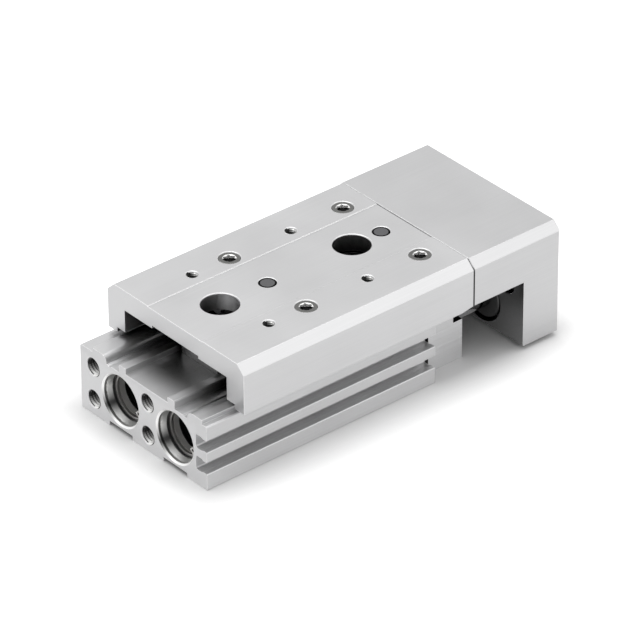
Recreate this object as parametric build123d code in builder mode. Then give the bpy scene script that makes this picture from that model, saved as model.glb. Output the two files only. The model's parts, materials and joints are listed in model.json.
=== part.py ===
from build123d import *
import os

# Pneumatic slide table: a twin-bore cylinder body with a linear guide on top,
# and a channel-shaped table with an end block that the two piston rods push.
# Sizes in millimetres. The origin is the middle of the two mounting bolts on
# the mounting face. +X is the way the table extends, +Z is up, and the side
# with the two sensor slots is the -Y side.

# Heights that set the stack of rail, carriage and table
table_top = 33.8
seat_z = 18.6               # floor between the ribs, under the rail
drawn_rise = 15.2           # seat to table top, for which the heights above the seat are drawn
rise = (table_top - seat_z) / drawn_rise
overcut = 5.0               # cuts reach this far past the faces they open

# Body block
body_length = 88.0
body_left = 26.6            # guide centre to the port side
slot_side = 23.4            # guide centre to the slotted side
ledge_low_z = 18.8
ledge_high_z = 20.0
ledge_step_y = 21.7
ledge_foot_r = 0.5          # fillet at the foot of the step
shoulder_y = 16.0           # side wall of each open channel
shoulder_r = 2.0            # wide rounding at the top of that wall
channel_z = 17.9
corner_depth = 0.3          # relief along the channel's corner
corner_width = 1.9
corner_rise = 0.5
rib_outer_y = 11.0
rib_inner_y = 8.3
rib_z = 20.2
rib_break = 0.3
relief_width = 9.3          # shallow recess under each bore
relief_depth = 1.3
edge_break = 0.3

# Strip with the sensor slots, and the cut-back front of that side
strip_setback = 13.4        # body front to the end of the strip
strip_depth = 4.8
undercut_length = 1.9
undercut_depth = 1.1
slot_z = (6.5, 12.9)
slot_height = 4.0
slot_mouth = 3.4
slot_depth = 4.3
slot_lip = 1.5
slot_corner = 0.7
stop_notch_length = 3.1
stop_notch_depth = 1.4
stop_notch_z = 11.6

# Cylinder bores
bore_pitch = 21.6
bore_z = 9.4
bore_r = 6.0
mouth_r = 7.5               # at the rear face
mouth_break = 0.45
mouth_land = 1.2            # rear face to the end of the straight part
mouth_depth = 2.9
mouth_foot_r = 6.6          # where the mouth has tapered in
cap_bore_r = 6.45
cap_seat = 16.0             # rear face to the shoulder that stops the head cap
ring_groove_r = 7.0
ring_thickness = 0.8
ring_play = 0.1
ring_setback = 0.6          # mouth floor to the rear ring
cover_seat_back = 11.0      # front face to the shoulder that stops the rod cover
cover_ring_back = 4.4       # front face to the front ring
thread_r = 2.5              # M5, drawn at the thread's full size
thread_depth = 10.0
thread_break = 0.25
thread_offset = 4.8         # above and below the bore axis
port_depth = 5.5            # the air ports are M5 as well
port_drill_r = 1.25
rear_port_x = 17.6
front_port_back = 36.0      # from the front face

# Mounting bolts through rail and body, reached through the table
first_bolt = 23.8
bolt_margin = 32.2          # table length less the pitch of the bolts
bolt_r = 2.75
bolt_head_r = 4.6           # the bolt heads sit on the body, in holes through the rail

# Guide rail and its screws
rail_start = 17.0
rail_half = 7.0
rail_height = 5.4 * rise
rail_break = 0.4
ball_r = 1.0
ball_play = 0.05
ball_rise = 3.4 * rise
rail_screw_gap = (10.2, 10.4)      # from the two bolts, inwards
rail_screw_shift = 1.55     # the third screw, from halfway between bolt and front face
screw_r = 1.5               # M3
screw_play = 0.05
rail_head_r = 2.75
rail_head_height = 2.4
rail_head_seat = 2.6
rail_head_play = 0.25
rail_screw_depth = 7.0
hex_socket = 2.0            # across the flats
hex_depth = 1.3

# Table
table_start = 9.3           # body rear face to table rear face, at rest
table_length = 75.3
table_half = 26.75
table_edge_down = 2.4
table_edge_in = 2.6
band_margin = 16.0          # side face to the shallow band along the top
band_depth = 0.2
hole_break = 0.2            # rims of the plain holes in the top
joint_break = 0.15          # outer edges where table and end block meet
wall_thickness = 6.65
plate_thickness = 5.8 * rise
crown_margin = 17.65        # side face to the raised middle of the ceiling
crown_height = 0.75 * rise
wall_step_rise = 2.9 * rise
lip_height = 1.55 * rise    # rail seat to the foot of the wall
lip_width = 3.55
lip_rise = 0.65             # bevel under the front end of each wall
lip_rise_length = 4.0
row_margin = 11.75          # side face to the rows of screws and threads
tapped_rear = 17.7          # table rear face to the M3 threads
tapped_front = 25.4         # table front face to the M3 threads
sunk_rear = 29.85           # the same for the countersunk screws
sunk_front = 7.95
access_x = 14.5
access_r = 5.0
plug_r = 2.3
plug_length = 3.2 * rise
sunk_head_r = 2.95
sunk_head_play = 0.1
sunk_flush = 0.1
sunk_screw_length = 10.0 * rise
tapped_break = 0.25

# End block
end_length = 29.1
end_wall = 12.1
end_wall_z = 1.5
end_edge = 2.3
end_side_rise = 2.2 * rise
end_screw_high = (6.75, 3.5 * rise)      # from the side face, below the top
end_screw_low = (3.55, 9.6 * rise)
end_head_r = 2.75
end_head_height = 3.0
end_head_sink = 3.6
end_screw_grip = 7.0        # thread in the table
end_hole_r = 1.7
stop_hole_margin = 6.45     # side face to the M5 hole for a stop screw
stop_hole_z = 17.2
collar_pocket_r = 7.2
collar_pocket_depth = 2.5
collar_sunk = 0.2           # the wall's inner face to the collar
nut_pocket_r = 4.8
nut_pocket_depth = 4.0

# Guide carriage under the table
carriage_start = 26.6       # table rear face to the steel block
carriage_margin = 31.3      # table length less the length of the steel block
carriage_side_gap = 1.6     # to the table's walls
carriage_gap = 0.3          # beside the rail
carriage_roof_gap = 0.4
carriage_foot_rise = 2.3 * rise
carriage_break = 0.5
end_cap_length = 3.0
end_cap_inset = 0.4
scraper_length = 0.8
scraper_inset = 0.9
balls_per_row = 9
ball_pitch = 4.4
ball_bands = 8              # sides of the profile that stands for each round ball
cap_screw_shift = 0.55      # towards the rail, from halfway to the rows
cap_screw_rise = 6.0 * rise
cap_screw_r = 1.0
cap_screw_depth = 5.0
cap_head_r = 1.9
cap_head_height = 1.0

# Head caps, rod covers and their seals
cap_cup_r = 5.75
cap_cup_floor = 6.9         # rear face to the floor of the cup
cap_well_r = 4.9
cap_well_depth = 4.0
cap_plug_sunk = 0.3         # floor of the cup to the plug in its well
fit = 0.03                  # between a sealed part and its bore
seal_cord_r = 0.6
seal_cord_sides = 8
seal_groove_width = 1.5
seal_groove_r = 5.2
cap_seal_x = 12.6
cover_length = 27.0         # nose to shoulder
cover_nose_length = 4.5
cover_nose_r = 4.9
cover_seal_gap = 2.6        # shoulder to seal groove
rod_r = 3.0
rod_play = 0.06
lip_pocket_r = 5.0
lip_pocket_depth = 3.0
lip_seal_length = 2.4
lip_seal_play = 0.03
lug_turn = 225.0            # both lugs point down, towards the slotted side
lug_length = 2.4
lug_width = 1.5
lug_gap = 0.3
lug_hole_r = 0.4
ring_band = 1.1
head_bumper_r = 4.5
head_bumper_hole_r = 1.8
head_bumper_length = 3.2
rod_bumper_r = 4.5
rod_bumper_hole_r = 3.5
rod_bumper_length = 2.0
rod_bumper_proud = 0.1

# Pistons and rods, at rest
piston_gap = 1.0            # to the rod cover
piston_length = 20.0
piston_r = 5.85
piston_ring_r = 5.95
piston_seal = (2.2, 2.0, 4.6)      # from the piston's rear, width, groove radius
piston_magnet = (7.0, 5.0, 4.4)
piston_wear_ring = (15.2, 2.4, 5.2)
magnet_r = 5.6
rod_tail_r = 2.5
rod_tail_length = 14.0
rod_thread_r = 2.0
rod_end_sunk = 0.5
collar_r = 6.2
collar_play = 0.1
nut_flats = 7.0
nut_thickness = 3.0
rod_hole_r = 2.6

# Places worked out from the sizes above
strip_length = body_length - strip_setback
cover_seat = body_length - cover_seat_back
cover_ring_x = body_length - cover_ring_back
cover_start = cover_seat - cover_length
cover_seal_x = cover_seat + cover_seal_gap
front_port_x = body_length - front_port_back
piston_front = cover_start - piston_gap
bolt_pitch = table_length - bolt_margin
second_bolt = first_bolt + bolt_pitch
rail_screws_x = (
    first_bolt + rail_screw_gap[0],
    second_bolt - rail_screw_gap[1],
    (second_bolt + body_length) / 2 + rail_screw_shift,
)
ball_z = seat_z + ball_rise
ceiling_z = table_top - plate_thickness
crown_z = ceiling_z + crown_height
wall_inner_z = seat_z + wall_step_rise
lip_z = seat_z + lip_height
end_side_z = seat_z + end_side_rise
inner_half = table_half - wall_thickness
lip_half = table_half - lip_width
band_half = table_half - band_margin
crown_half = table_half - crown_margin
row_y = table_half - row_margin
tapped_x = (tapped_rear, table_length - tapped_front)
sunk_x = (sunk_rear, table_length - sunk_front)
carriage_length = table_length - carriage_margin
carriage_half = inner_half - carriage_side_gap
carriage_foot_z = seat_z + carriage_foot_rise
cap_screw_y = (rail_half + carriage_gap + row_y) / 2 - cap_screw_shift
cap_screw_z = seat_z + cap_screw_rise
stop_hole_y = stop_hole_margin - table_half
rear = -(first_bolt + bolt_pitch / 2)
table_rear = rear + table_start
joint_x = table_rear + table_length
front = joint_x + end_length
wall_x = front - end_wall
shoulder_x = wall_x + collar_sunk
carriage_rear = table_rear + carriage_start
carriage_front = carriage_rear + carriage_length
rail_top = seat_z + rail_height
carriage_roof = rail_top + carriage_roof_gap
notch_x = rear + body_length - stop_notch_length
strip_end = rear + strip_length
cut_face_y = -slot_side + strip_depth
block_top = table_top + overcut
rod_thread_end = front - rear - rod_end_sunk
ring_x = rear + mouth_depth + ring_setback
cap_rear = ring_x + ring_thickness + ring_play
bolt_places = [(rear + first_bolt, 0), (rear + second_bolt, 0)]
access_places = [(table_rear + access_x, 0), (table_rear + access_x + bolt_pitch, 0)]
tapped_places = [(table_rear + x, y) for x in tapped_x for y in (-row_y, row_y)]
sunk_places = [(table_rear + x, y) for x in sunk_x for y in (-row_y, row_y)]
plug_places = [(table_rear + x, 0) for x in sunk_x]
end_screw_places = [
    (sign * (table_half - inwards), table_top - down)
    for inwards, down in (end_screw_low, end_screw_high)
    for sign in (-1, 1)
]
ball_y = rail_half + carriage_gap / 2
sides = {"left": bore_pitch / 2, "right": -bore_pitch / 2}

os.makedirs("parts", exist_ok=True)


def finish(piece, name):
    """Label a finished piece and write its STEP file."""
    piece.label = name
    export_step(piece, f"parts/{name}.step")


def lathe_plane(y, z=bore_z):
    """Plane through a bore's axis: x along the axis, y outwards from it."""
    return Plane(origin=(0, y, z), x_dir=(1, 0, 0), z_dir=(0, -1, 0))


def lathe_axis(y, z=bore_z):
    return Axis((0, y, z), (1, 0, 0))


def cross_plane(x, y, z=bore_z):
    """Plane across a bore: x towards the port side, y upwards."""
    return Plane(origin=(x, y, z), x_dir=(0, 1, 0), z_dir=(1, 0, 0))


def band(x0, x1, r0, r1):
    """Corners of a rectangle in a lathe profile, from radius r0 to r1."""
    return [(x0, r0), (x1, r0), (x1, r1), (x0, r1)]


# Cylinder body: one extruded and machined aluminium block
def body_outline():
    """Half outlines of the top, from each side face to the rail seat."""
    corner_y = shoulder_y - corner_width
    corner_z = channel_z - corner_depth
    top = [
        (ledge_step_y, ledge_low_z),
        (ledge_step_y, ledge_high_z),
        (shoulder_y, ledge_high_z),
        (shoulder_y, channel_z),
        (shoulder_y - corner_rise - corner_depth, corner_z),
        (corner_y + corner_depth, corner_z),
        (corner_y, channel_z),
        (rib_outer_y, channel_z),
        (rib_outer_y, rib_z - rib_break),
        (rib_outer_y - rib_break, rib_z),
        (rib_inner_y, rib_z),
        (rib_inner_y, seat_z),
    ]
    left = [(body_left, 0), (body_left, ledge_low_z)] + top
    right = [(-y, z) for y, z in reversed(top)] + [(-slot_side, ledge_low_z), (-slot_side, 0)]
    return left + right


def bore_profile():
    """Stepped bore from the rear mouth to the front face, as x and radius."""
    groove = (ring_x - ring_play, ring_x + ring_thickness + ring_play)
    front_ring = rear + cover_ring_x
    front_groove = (front_ring - ring_play, front_ring + ring_thickness + ring_play)
    return [
        (rear, 0),
        (rear, mouth_r),
        (rear + mouth_break, mouth_r - mouth_break),
        (rear + mouth_land, mouth_r - mouth_break),
        (rear + mouth_depth, mouth_foot_r),
        (rear + mouth_depth, cap_bore_r),
        (groove[0], cap_bore_r),
        (groove[0], ring_groove_r),
        (groove[1], ring_groove_r),
        (groove[1], cap_bore_r),
        (rear + cap_seat, cap_bore_r),
        (rear + cap_seat, bore_r),
        (rear + cover_seat, bore_r),
        (rear + cover_seat, cap_bore_r),
        (front_groove[0], cap_bore_r),
        (front_groove[0], ring_groove_r),
        (front_groove[1], ring_groove_r),
        (front_groove[1], cap_bore_r),
        (rear + body_length, cap_bore_r),
        (rear + body_length, 0),
    ]


with BuildPart() as cylinder_body:
    with BuildSketch(Plane.YZ.offset(rear)) as body_section:
        with BuildLine():
            Polyline(*body_outline(), close=True)
        make_face()
        corners = body_section.vertices()
        tops = [v for v in corners if abs(abs(v.X) - shoulder_y) < 0.01 and abs(v.Y - ledge_high_z) < 0.01]
        feet = [v for v in corners if abs(abs(v.X) - ledge_step_y) < 0.01 and abs(v.Y - ledge_low_z) < 0.01]
        fillet(tops, shoulder_r)
        fillet(feet, ledge_foot_r)
        for y in sides.values():
            with Locations((y, relief_depth / 2)):
                Rectangle(relief_width, relief_depth, mode=Mode.SUBTRACT)
    extrude(amount=body_length)
    # Long outer edges, broken before anything is cut into the faces
    outer = cylinder_body.edges().filter_by(Axis.X)
    low = [e for e in outer if e.center().Z < 0.01 and abs(e.center().Y) > ledge_step_y]
    high = [e for e in outer if abs(e.center().Z - ledge_low_z) < 0.01 and abs(e.center().Y) > ledge_step_y + 0.1]
    chamfer(low + high, edge_break)
    # Side strip: cut back at the front, with an undercut where it ends
    with BuildSketch(Plane.XY) as cut_back:
        with Locations((strip_end, -slot_side - overcut)):
            Rectangle(body_length, overcut + strip_depth, align=(Align.MIN, Align.MIN))
        with Locations((strip_end, cut_face_y)):
            Rectangle(undercut_length, undercut_depth, align=(Align.MIN, Align.MIN))
    extrude(amount=block_top, mode=Mode.SUBTRACT)
    with BuildSketch(Plane.XY.offset(stop_notch_z)) as stop_notch:
        with Locations((notch_x, cut_face_y - 1)):
            Rectangle(body_length, 1 + stop_notch_depth, align=(Align.MIN, Align.MIN))
    extrude(amount=block_top, mode=Mode.SUBTRACT)
    # Sensor slots, open at both ends of the strip
    with BuildSketch(Plane.YZ.offset(rear)) as slots:
        for z in slot_z:
            with Locations((-slot_side + slot_lip + (slot_depth - slot_lip) / 2, z)):
                RectangleRounded(slot_depth - slot_lip, slot_height, slot_corner)
            with Locations((-slot_side + slot_lip / 2 + slot_corner / 2, z)):
                Rectangle(slot_lip + slot_corner, slot_mouth)
    extrude(amount=strip_length, mode=Mode.SUBTRACT)
    lips = [
        e
        for e in cylinder_body.edges().filter_by(Axis.X)
        if abs(e.center().Y + slot_side) < 0.01
        and any(abs(abs(e.center().Z - z) - slot_mouth / 2) < 0.01 for z in slot_z)
    ]
    chamfer(lips, edge_break * 0.6)
    # Twin bores, stepped for the head caps, the pistons and the rod covers
    for y in sides.values():
        with BuildSketch(lathe_plane(y)):
            with BuildLine():
                Polyline(*bore_profile(), close=True)
            make_face()
        revolve(axis=lathe_axis(y), mode=Mode.SUBTRACT)
    # Four threads in the rear face, beside the left bore
    with BuildSketch(Plane.YZ.offset(rear)):
        with Locations(*[(y, bore_z + dz) for y in (0, bore_pitch) for dz in (-thread_offset, thread_offset)]):
            Circle(thread_r)
    extrude(amount=thread_depth, mode=Mode.SUBTRACT)
    rims = [
        e
        for e in cylinder_body.edges().filter_by(GeomType.CIRCLE)
        if abs(e.radius - thread_r) < 0.01 and abs(e.center().X - rear) < 0.01
    ]
    chamfer(rims, thread_break)
    # Air ports on the plain side, drilled across both bores
    for x in (rear + rear_port_x, rear + front_port_x):
        with BuildSketch(Plane.XZ.offset(-body_left)):
            with Locations((x, bore_z)):
                Circle(thread_r)
        extrude(amount=port_depth, mode=Mode.SUBTRACT)
        with BuildSketch(Plane.XZ.offset(-body_left)):
            with Locations((x, bore_z)):
                Circle(port_drill_r)
        extrude(amount=body_left + bore_pitch / 2, mode=Mode.SUBTRACT)
    # Mounting bolts and rail screws
    with BuildSketch(Plane.XY):
        with Locations(*bolt_places):
            Circle(bolt_r)
    extrude(amount=block_top, mode=Mode.SUBTRACT)
    with BuildSketch(Plane.XY.offset(seat_z)):
        with Locations(*[(rear + x, 0) for x in rail_screws_x]):
            Circle(screw_r + screw_play)
    extrude(amount=-rail_screw_depth - 1, mode=Mode.SUBTRACT)
finish(cylinder_body.part, "cylinder_body")

# Guide rail, screwed down between the two ribs
with BuildPart() as guide_rail:
    with BuildSketch(Plane.YZ.offset(rear + rail_start)):
        with Locations((0, seat_z + rail_height / 2)):
            Rectangle(2 * rail_half, rail_height)
        with Locations((-ball_y, ball_z), (ball_y, ball_z)):
            Circle(ball_r + ball_play, mode=Mode.SUBTRACT)
    extrude(amount=body_length - rail_start)
    top_edges = guide_rail.edges().filter_by(Axis.X).group_by(Axis.Z)[-1]
    chamfer(top_edges, rail_break)
    with Locations(*[(rear + x, 0, rail_top) for x in rail_screws_x]):
        CounterBoreHole(screw_r + screw_play, rail_head_r + rail_head_play, rail_head_seat)
    with Locations(*[(x, y, rail_top) for x, y in bolt_places]):
        Hole(bolt_head_r)
finish(guide_rail.part, "guide_rail")

with BuildPart() as rail_screws:
    head_z = rail_top - rail_head_seat
    for x in rail_screws_x:
        with BuildSketch(Plane.XY.offset(head_z)):
            with Locations((rear + x, 0)):
                Circle(rail_head_r)
        extrude(amount=rail_head_height)
        with BuildSketch(Plane.XY.offset(head_z)):
            with Locations((rear + x, 0)):
                Circle(screw_r)
        extrude(amount=-(head_z - seat_z) - rail_screw_depth)
        with BuildSketch(Plane.XY.offset(head_z + rail_head_height)):
            with Locations((rear + x, 0)):
                RegularPolygon(hex_socket / 2, 6, major_radius=False)
        extrude(amount=-hex_depth, mode=Mode.SUBTRACT)
finish(rail_screws.part, "rail_screws")


# Head caps, seals, retaining rings and bumpers, one set for each bore
def make_head_cap(side, y):
    """Cup-shaped plug that closes the rear of a bore."""
    well = rear + cap_cup_floor + cap_well_depth
    groove = rear + cap_seal_x
    profile = [
        (cap_rear, cap_cup_r),
        (rear + cap_cup_floor, cap_cup_r),
        (rear + cap_cup_floor, cap_well_r),
        (well, cap_well_r),
        (well, 0),
        (rear + cap_seat, 0),
        (rear + cap_seat, cap_bore_r - fit),
        (groove + seal_groove_width, cap_bore_r - fit),
        (groove + seal_groove_width, seal_groove_r),
        (groove, seal_groove_r),
        (groove, cap_bore_r - fit),
        (cap_rear, cap_bore_r - fit),
    ]
    with BuildPart() as head_cap:
        with BuildSketch(lathe_plane(y)):
            with BuildLine():
                Polyline(*profile, close=True)
            make_face()
        revolve(axis=lathe_axis(y))
    finish(head_cap.part, f"head_cap_{side}")


def make_cap_plug(side, y):
    """Plastic disc pressed into the head cap's well."""
    with BuildPart() as cap_plug:
        with BuildSketch(cross_plane(rear + cap_cup_floor + cap_plug_sunk, y)):
            Circle(cap_well_r)
        extrude(amount=cap_well_depth - cap_plug_sunk)
    finish(cap_plug.part, f"cap_plug_{side}")


def make_cord_ring(name, x, y):
    """O-ring in its groove, with a few flats in place of the round cord."""
    ring_r = cap_bore_r - fit - seal_cord_r
    with BuildPart() as cord_ring:
        with BuildSketch(lathe_plane(y)):
            with Locations((x + seal_groove_width / 2, ring_r)):
                turn = 180 / seal_cord_sides
                RegularPolygon(seal_cord_r, seal_cord_sides, major_radius=False, rotation=turn)
        revolve(axis=lathe_axis(y))
    finish(cord_ring.part, name)


def make_retaining_ring(name, x, y):
    """Sprung ring with two lugs, each with a hole for the pliers."""
    outer = ring_groove_r - ring_play
    inner = outer - ring_band
    lug_foot = inner + ring_band / 2
    lug_shift = (lug_gap + lug_width) / 2
    with BuildPart() as retaining_ring:
        with BuildSketch(cross_plane(x, y)):
            Circle(outer)
            Circle(inner, mode=Mode.SUBTRACT)
            with Locations(Location((0, 0, 0), (0, 0, lug_turn))):
                with Locations((lug_foot - lug_length / 2, -lug_shift), (lug_foot - lug_length / 2, lug_shift)):
                    Rectangle(lug_length, lug_width)
                with Locations((lug_foot, 0)):
                    Rectangle(lug_length, lug_gap, mode=Mode.SUBTRACT)
                hole_x = lug_foot - lug_length + lug_width / 2
                with Locations((hole_x, -lug_shift), (hole_x, lug_shift)):
                    Circle(lug_hole_r, mode=Mode.SUBTRACT)
        extrude(amount=ring_thickness)
    finish(retaining_ring.part, name)


def make_head_bumper(side, y):
    with BuildPart() as head_bumper:
        with BuildSketch(lathe_plane(y)):
            with BuildLine():
                start = rear + cap_seat
                Polyline(*band(start, start + head_bumper_length, head_bumper_hole_r, head_bumper_r), close=True)
            make_face()
        revolve(axis=lathe_axis(y))
    finish(head_bumper.part, f"head_bumper_{side}")


def make_rod_cover(side, y):
    """Flanged sleeve that guides the rod and holds its seals."""
    nose = rear + cover_start
    seat = rear + cover_seat
    face = rear + cover_ring_x - ring_play
    groove = rear + cover_seal_x
    guide_r = rod_r + rod_play
    profile = [
        (nose, rod_bumper_r),
        (nose, cover_nose_r),
        (nose + cover_nose_length, cover_nose_r),
        (nose + cover_nose_length, bore_r - fit),
        (seat, bore_r - fit),
        (seat, cap_bore_r - fit),
        (groove, cap_bore_r - fit),
        (groove, seal_groove_r),
        (groove + seal_groove_width, seal_groove_r),
        (groove + seal_groove_width, cap_bore_r - fit),
        (face, cap_bore_r - fit),
        (face, lip_pocket_r),
        (face - lip_pocket_depth, lip_pocket_r),
        (face - lip_pocket_depth, guide_r),
        (nose + rod_bumper_length, guide_r),
        (nose + rod_bumper_length, rod_bumper_r),
    ]
    with BuildPart() as rod_cover:
        with BuildSketch(lathe_plane(y)):
            with BuildLine():
                Polyline(*profile, close=True)
            make_face()
        revolve(axis=lathe_axis(y))
    finish(rod_cover.part, f"rod_cover_{side}")


def make_rod_seal(side, y):
    """Lip seal in the rod cover's outer pocket, with a hollow behind its lip."""
    back = rear + cover_ring_x - ring_play - lip_pocket_depth
    end = back + lip_seal_length
    profile = [
        (back, rod_r + lip_seal_play + 0.5),
        (back, lip_pocket_r),
        (end, lip_pocket_r),
        (end, rod_r + lip_seal_play),
        (end - 0.9, rod_r + lip_seal_play),
        (end - 1.3, rod_r + lip_seal_play + 0.5),
    ]
    with BuildPart() as rod_seal:
        with BuildSketch(lathe_plane(y)):
            with BuildLine():
                Polyline(*profile, close=True)
            make_face()
        revolve(axis=lathe_axis(y))
    finish(rod_seal.part, f"rod_seal_{side}")


def make_rod_bumper(side, y):
    with BuildPart() as rod_bumper:
        with BuildSketch(lathe_plane(y)):
            with BuildLine():
                start = rear + cover_start - rod_bumper_proud
                length = rod_bumper_length + rod_bumper_proud
                Polyline(*band(start, start + length, rod_bumper_hole_r, rod_bumper_r), close=True)
            make_face()
        revolve(axis=lathe_axis(y))
    finish(rod_bumper.part, f"rod_bumper_{side}")


for side, y in sides.items():
    make_head_cap(side, y)
    make_cap_plug(side, y)
    make_cord_ring(f"head_cap_seal_{side}", rear + cap_seal_x, y)
    make_retaining_ring(f"head_ring_{side}", ring_x, y)
    make_head_bumper(side, y)
    make_rod_cover(side, y)
    make_cord_ring(f"rod_cover_seal_{side}", rear + cover_seal_x, y)
    make_rod_seal(side, y)
    make_retaining_ring(f"front_ring_{side}", rear + cover_ring_x, y)
    make_rod_bumper(side, y)


# Pistons, their rings and the piston rods, which move with the table
def make_piston(side, y):
    tail = rear + piston_front - piston_length
    nose = rear + piston_front
    outline = [(tail, rod_tail_r), (tail, piston_r)]
    for start, width, groove_r in (piston_seal, piston_magnet, piston_wear_ring):
        outline += [(tail + start, piston_r), (tail + start, groove_r)]
        outline += [(tail + start + width, groove_r), (tail + start + width, piston_r)]
    outline += [(nose, piston_r), (nose, rod_tail_r)]
    with BuildPart() as piston:
        with BuildSketch(lathe_plane(y)):
            with BuildLine():
                Polyline(*outline, close=True)
            make_face()
        revolve(axis=lathe_axis(y))
        # The rod's tail is shorter than the piston, so the rear stays closed
        with BuildSketch(lathe_plane(y)):
            with BuildLine():
                Polyline(*band(tail, nose - rod_tail_length, 0, rod_tail_r), close=True)
            make_face()
        revolve(axis=lathe_axis(y))
    finish(piston.part, f"piston_{side}")


def make_piston_ring(name, y, groove, outer_r):
    """Ring that fills one of the piston's grooves."""
    start, width, groove_r = groove
    x = rear + piston_front - piston_length + start
    with BuildPart() as piston_ring:
        with BuildSketch(lathe_plane(y)):
            with BuildLine():
                Polyline(*band(x, x + width, groove_r, outer_r), close=True)
            make_face()
        revolve(axis=lathe_axis(y))
    finish(piston_ring.part, name)


def make_piston_rod(side, y):
    """Rod with a tail in the piston and a threaded end in the end block."""
    nose = rear + piston_front
    profile = [
        (nose - rod_tail_length, 0),
        (nose - rod_tail_length, rod_tail_r),
        (nose, rod_tail_r),
        (nose, rod_r),
        (shoulder_x, rod_r),
        (shoulder_x, rod_thread_r),
        (rear + rod_thread_end, rod_thread_r),
        (rear + rod_thread_end, 0),
    ]
    with BuildPart() as piston_rod:
        with BuildSketch(lathe_plane(y)):
            with BuildLine():
                Polyline(*profile, close=True)
            make_face()
        revolve(axis=lathe_axis(y))
    finish(piston_rod.part, f"piston_rod_{side}")


def make_rod_collar(side, y):
    """Floating collar between the rod's shoulder and the end wall."""
    with BuildPart() as rod_collar:
        with BuildSketch(lathe_plane(y)):
            with BuildLine():
                floor = wall_x + collar_pocket_depth
                Polyline(*band(shoulder_x, floor, rod_thread_r + collar_play, collar_r), close=True)
            make_face()
        revolve(axis=lathe_axis(y))
        rims = rod_collar.edges().filter_by(GeomType.CIRCLE).group_by(Axis.X)[0].sort_by(SortBy.RADIUS)[-1]
        chamfer(rims, edge_break)
    finish(rod_collar.part, f"rod_collar_{side}")


def make_rod_nut(side, y):
    start = front - nut_pocket_depth
    with BuildPart() as rod_nut:
        with BuildSketch(cross_plane(start, y)):
            RegularPolygon(nut_flats / 2, 6, major_radius=False)
            Circle(rod_thread_r + screw_play, mode=Mode.SUBTRACT)
        extrude(amount=nut_thickness)
    finish(rod_nut.part, f"rod_nut_{side}")


for side, y in sides.items():
    make_piston(side, y)
    make_piston_ring(f"piston_seal_{side}", y, piston_seal, piston_ring_r)
    make_piston_ring(f"piston_magnet_{side}", y, piston_magnet, magnet_r)
    make_piston_ring(f"wear_ring_{side}", y, piston_wear_ring, piston_ring_r)
    make_piston_rod(side, y)
    make_rod_collar(side, y)
    make_rod_nut(side, y)


# Slide table: an upside-down channel over the body and the guide
def channel_outline(edge_down, edge_in, foot_z):
    """Outer half of a channel section, from the crown to the wall's foot."""
    return [
        (0, table_top),
        (table_half - edge_in, table_top),
        (table_half, table_top - edge_down),
        (table_half, foot_z),
        (lip_half, foot_z),
        (lip_half, wall_inner_z),
        (inner_half, wall_inner_z),
        (inner_half, ceiling_z),
        (crown_half, ceiling_z),
        (crown_half, crown_z),
        (0, crown_z),
    ]


def joint_edges(builder):
    """Outer edges of the face where table and end block meet."""
    edges = builder.edges().filter_by_position(Axis.X, joint_x, joint_x)
    low_z = table_top - max(table_edge_down, end_edge)
    return [e for e in edges if e.center().Z > low_z - 0.01 or abs(e.center().Y) > table_half - 0.01]


with BuildPart() as slide_table:
    with BuildSketch(Plane.YZ.offset(table_rear)) as table_section:
        with BuildLine():
            Polyline(*channel_outline(table_edge_down, table_edge_in, lip_z), close=True)
        make_face()
        mirror(about=Plane.YZ)
        with Locations((0, table_top)):
            Rectangle(2 * band_half, 2 * band_depth, mode=Mode.SUBTRACT)
    extrude(amount=table_length)
    chamfer(joint_edges(slide_table), joint_break)
    # Slight rise of each wall's foot where it meets the end block
    with BuildSketch(Plane.XZ.offset(table_half)) as foot_rise:
        with BuildLine():
            Polyline(
                (joint_x - lip_rise_length, lip_z),
                (joint_x, lip_z + lip_rise),
                (joint_x, lip_z - 1),
                (joint_x - lip_rise_length, lip_z - 1),
                close=True,
            )
        make_face()
    extrude(amount=-2 * table_half, mode=Mode.SUBTRACT)
    with Locations(*[(x, y, table_top) for x, y in access_places]):
        Hole(access_r)
    with Locations(*[(x, y, table_top) for x, y in tapped_places]):
        Hole(screw_r)
    with Locations(*[(x, y, table_top) for x, y in sunk_places]):
        CounterSinkHole(screw_r + sunk_head_play, sunk_head_r + sunk_head_play, counter_sink_angle=90)
    with Locations(*[(x, y, table_top) for x, y in plug_places]):
        Hole(plug_r)
    rims = slide_table.edges().filter_by(GeomType.CIRCLE).filter_by_position(Axis.Z, table_top - 1, table_top)
    chamfer([e for e in rims if abs(e.radius - screw_r) < 0.01], tapped_break)
    rims = slide_table.edges().filter_by(GeomType.CIRCLE).filter_by_position(Axis.Z, table_top - 1, table_top)
    chamfer([e for e in rims if min(abs(e.radius - access_r), abs(e.radius - plug_r)) < 0.01], hole_break)
    # Threads for the end block's screws, in the front end of both walls
    with BuildSketch(Plane.YZ.offset(joint_x)):
        with Locations(*end_screw_places):
            Circle(screw_r + screw_play)
    extrude(amount=-end_screw_grip - 1, mode=Mode.SUBTRACT)
finish(slide_table.part, "slide_table")

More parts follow.
